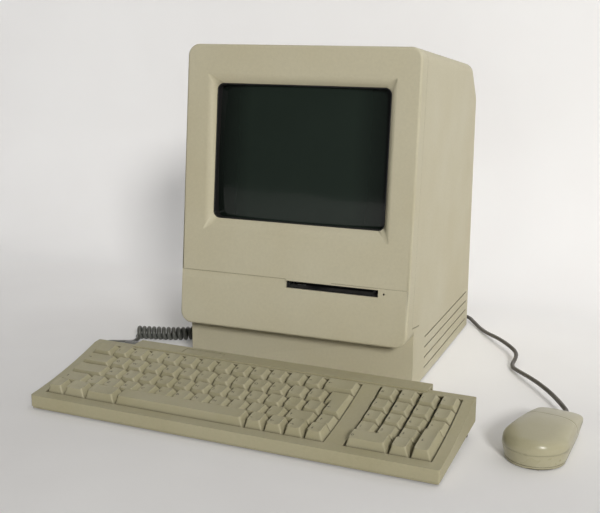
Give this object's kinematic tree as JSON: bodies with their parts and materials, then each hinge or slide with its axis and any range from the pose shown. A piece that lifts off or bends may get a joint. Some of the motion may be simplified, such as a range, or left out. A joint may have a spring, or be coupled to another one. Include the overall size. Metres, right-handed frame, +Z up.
{
  "type": "vintage home computer",
  "caption": "Compact beige all-in-one computer with built-in picture tube, sprung-key keyboard on a curly cord and one-button ball mouse on a thin lead.",
  "frame": {"origin": "middle of the footprint of computer, keyboard and mouse together, on the desk", "axes": "+X to the set's right as its user sees it, +Y away from the user towards the computer's back, +Z up"},
  "size_m": [0.5133, 0.4931, 0.3367],
  "materials": {
    "case": "fine grain, semi-matt, warm beige",
    "keyboard_case": "fine grain, semi-matt, warm beige",
    "key_plastic": "matt, warm beige",
    "mouse_plastic": "semi-matt, warm beige",
    "screen_glass": "dark grey-green phosphor glass",
    "steel": "zinc-plated sheet",
    "copper": "varnished copper winding",
    "board": "green circuit board",
    "dark_plastic": "black",
    "drive_metal": "cast and sheet metal",
    "socket_plastic": "black",
    "switch_plastic": "natural white",
    "foot_rubber": "matt",
    "ball_rubber": "matt",
    "lead_rubber": "grey, slight sheen",
    "mouse_lead_rubber": "dark grey-brown",
    "plug_plastic": "grey"
  },
  "bodies": {
    "desk_set": {"front_bezel": "case", "rear_housing": "case", "crt_tube": "screen_glass", "crt_band": "steel", "tube_screws": "steel", "deflection_yoke": "copper", "crt_neck_board": "board", "chassis": "steel", "analog_board": "board", "flyback_transformer": "dark_plastic", "floppy_drive": "drive_metal", "hard_drive": "drive_metal", "logic_board": "board", "backup_battery": "dark_plastic", "port_sockets": "socket_plastic", "power_entry": "dark_plastic", "speaker": "dark_plastic", "fan_frame": "dark_plastic", "case_screws": "steel", "rubber_feet": "foot_rubber", "keyboard_top_case": "keyboard_case", "keyboard_bottom_case": "keyboard_case", "key_backplate": "steel", "key_switches": "switch_plastic", "keyboard_sockets": "socket_plastic", "mouse_base": "mouse_plastic", "mouse_shell": "mouse_plastic", "mouse_strain_relief": "lead_rubber", "keyboard_plug": "plug_plastic", "computer_plug": "plug_plastic", "mouse_plug": "plug_plastic", "keyboard_lead": "lead_rubber", "keyboard_curl": "lead_rubber", "keyboard_far_lead": "lead_rubber", "mouse_lead": "mouse_lead_rubber"},
    "keys_number_row": {"keys_number_row": "key_plastic"},
    "key_delete": {"key_delete": "key_plastic"},
    "key_tab": {"key_tab": "key_plastic"},
    "keys_upper_row": {"keys_upper_row": "key_plastic"},
    "key_return": {"key_return": "key_plastic"},
    "key_control": {"key_control": "key_plastic"},
    "keys_home_row": {"keys_home_row": "key_plastic"},
    "key_shift_left": {"key_shift_left": "key_plastic"},
    "keys_lower_row": {"keys_lower_row": "key_plastic"},
    "key_shift_right": {"key_shift_right": "key_plastic"},
    "keys_cursor": {"keys_cursor": "key_plastic"},
    "key_caps_lock": {"key_caps_lock": "key_plastic"},
    "key_option": {"key_option": "key_plastic"},
    "key_command": {"key_command": "key_plastic"},
    "space_bar": {"space_bar": "key_plastic"},
    "keys_keypad": {"keys_keypad": "key_plastic"},
    "key_keypad_enter": {"key_keypad_enter": "key_plastic"},
    "power_key": {"power_key": "key_plastic"},
    "power_rocker": {"power_rocker": "dark_plastic"},
    "fan_rotor": {"fan_rotor": "dark_plastic"},
    "mouse_button": {"mouse_button": "mouse_plastic"},
    "mouse_ball": {"mouse_ball": "ball_rubber"},
    "mouse_ball_ring": {"mouse_ball_ring": "mouse_plastic"},
    "keyboard_foot_left": {"keyboard_foot_left": "keyboard_case"},
    "keyboard_foot_right": {"keyboard_foot_right": "keyboard_case"}
  },
  "joints": [
    {"name": "keys_number_row_travel", "type": "slide", "parent": "desk_set", "child": "keys_number_row", "axis": [-0.0065, -0.2099, 0.9777], "range_m": [-0.0033, 0], "stiffness_N_per_m": 1950, "springref_m": 0.002},
    {"name": "key_delete_travel", "type": "slide", "parent": "desk_set", "child": "key_delete", "axis": [-0.0065, -0.2099, 0.9777], "range_m": [-0.0033, 0], "stiffness_N_per_m": 150, "springref_m": 0.002},
    {"name": "key_tab_travel", "type": "slide", "parent": "desk_set", "child": "key_tab", "axis": [-0.0065, -0.2099, 0.9777], "range_m": [-0.0033, 0], "stiffness_N_per_m": 150, "springref_m": 0.002},
    {"name": "keys_upper_row_travel", "type": "slide", "parent": "desk_set", "child": "keys_upper_row", "axis": [-0.0065, -0.2099, 0.9777], "range_m": [-0.0033, 0], "stiffness_N_per_m": 1800, "springref_m": 0.002},
    {"name": "key_return_travel", "type": "slide", "parent": "desk_set", "child": "key_return", "axis": [-0.0065, -0.2099, 0.9777], "range_m": [-0.0033, 0], "stiffness_N_per_m": 150, "springref_m": 0.002},
    {"name": "key_control_travel", "type": "slide", "parent": "desk_set", "child": "key_control", "axis": [-0.0065, -0.2099, 0.9777], "range_m": [-0.0033, 0], "stiffness_N_per_m": 150, "springref_m": 0.002},
    {"name": "keys_home_row_travel", "type": "slide", "parent": "desk_set", "child": "keys_home_row", "axis": [-0.0065, -0.2099, 0.9777], "range_m": [-0.0033, 0], "stiffness_N_per_m": 1800, "springref_m": 0.002},
    {"name": "key_shift_left_travel", "type": "slide", "parent": "desk_set", "child": "key_shift_left", "axis": [-0.0065, -0.2099, 0.9777], "range_m": [-0.0033, 0], "stiffness_N_per_m": 150, "springref_m": 0.002},
    {"name": "keys_lower_row_travel", "type": "slide", "parent": "desk_set", "child": "keys_lower_row", "axis": [-0.0065, -0.2099, 0.9777], "range_m": [-0.0033, 0], "stiffness_N_per_m": 1650, "springref_m": 0.002},
    {"name": "key_shift_right_travel", "type": "slide", "parent": "desk_set", "child": "key_shift_right", "axis": [-0.0065, -0.2099, 0.9777], "range_m": [-0.0033, 0], "stiffness_N_per_m": 150, "springref_m": 0.002},
    {"name": "keys_cursor_travel", "type": "slide", "parent": "desk_set", "child": "keys_cursor", "axis": [-0.0065, -0.2099, 0.9777], "range_m": [-0.0033, 0], "stiffness_N_per_m": 750, "springref_m": 0.002},
    {"name": "key_caps_lock_travel", "type": "slide", "parent": "desk_set", "child": "key_caps_lock", "axis": [-0.0065, -0.2099, 0.9777], "range_m": [-0.0033, 0], "stiffness_N_per_m": 150, "springref_m": 0.002},
    {"name": "key_option_travel", "type": "slide", "parent": "desk_set", "child": "key_option", "axis": [-0.0065, -0.2099, 0.9777], "range_m": [-0.0033, 0], "stiffness_N_per_m": 150, "springref_m": 0.002},
    {"name": "key_command_travel", "type": "slide", "parent": "desk_set", "child": "key_command", "axis": [-0.0065, -0.2099, 0.9777], "range_m": [-0.0033, 0], "stiffness_N_per_m": 150, "springref_m": 0.002},
    {"name": "space_bar_travel", "type": "slide", "parent": "desk_set", "child": "space_bar", "axis": [-0.0065, -0.2099, 0.9777], "range_m": [-0.0033, 0], "stiffness_N_per_m": 150, "springref_m": 0.002},
    {"name": "keys_keypad_travel", "type": "slide", "parent": "desk_set", "child": "keys_keypad", "axis": [-0.0065, -0.2099, 0.9777], "range_m": [-0.0033, 0], "stiffness_N_per_m": 2550, "springref_m": 0.002},
    {"name": "key_keypad_enter_travel", "type": "slide", "parent": "desk_set", "child": "key_keypad_enter", "axis": [-0.0065, -0.2099, 0.9777], "range_m": [-0.0033, 0], "stiffness_N_per_m": 150, "springref_m": 0.002},
    {"name": "power_key_travel", "type": "slide", "parent": "desk_set", "child": "power_key", "axis": [0, 0, 1], "range_m": [-0.002, 0], "stiffness_N_per_m": 250, "springref_m": 0.002},
    {"name": "power_rocker_swing", "type": "hinge", "parent": "desk_set", "child": "power_rocker", "pos_m": [-0.13143, 0.21666, 0.1265], "axis": [1, 0, 0], "range_deg": [0, 12]},
    {"name": "fan_spin", "type": "hinge", "parent": "desk_set", "child": "fan_rotor", "pos_m": [0.01456, 0.20416, 0.235], "axis": [0, 1, 0], "continuous": true},
    {"name": "mouse_button_press", "type": "hinge", "parent": "desk_set", "child": "mouse_button", "pos_m": [0.21943, -0.09824, 0.018], "axis": [0.989, -0.1478, 0], "range_deg": [-1.8, 0], "stiffness_Nm_per_rad": 0.4, "springref_deg": 1.72},
    {"name": "mouse_ball_roll", "type": "hinge", "parent": "desk_set", "child": "mouse_ball", "pos_m": [0.21765, -0.11011, 0.01], "axis": [0.989, -0.1478, 0], "continuous": true},
    {"name": "mouse_ball_ring_turn", "type": "hinge", "parent": "desk_set", "child": "mouse_ball_ring", "pos_m": [0.21765, -0.11011, 0.0016], "axis": [0, 0, 1], "range_deg": [0, 30]},
    {"name": "keyboard_foot_left_fold", "type": "hinge", "parent": "desk_set", "child": "keyboard_foot_left", "pos_m": [-0.22515, -0.10622, 0.013], "axis": [0.9995, -0.0311, 0], "range_deg": [-90, 0]},
    {"name": "keyboard_foot_right_fold", "type": "hinge", "parent": "desk_set", "child": "keyboard_foot_right", "pos_m": [0.13507, -0.11741, 0.013], "axis": [0.9995, -0.0311, 0], "range_deg": [-90, 0]}
  ]
}
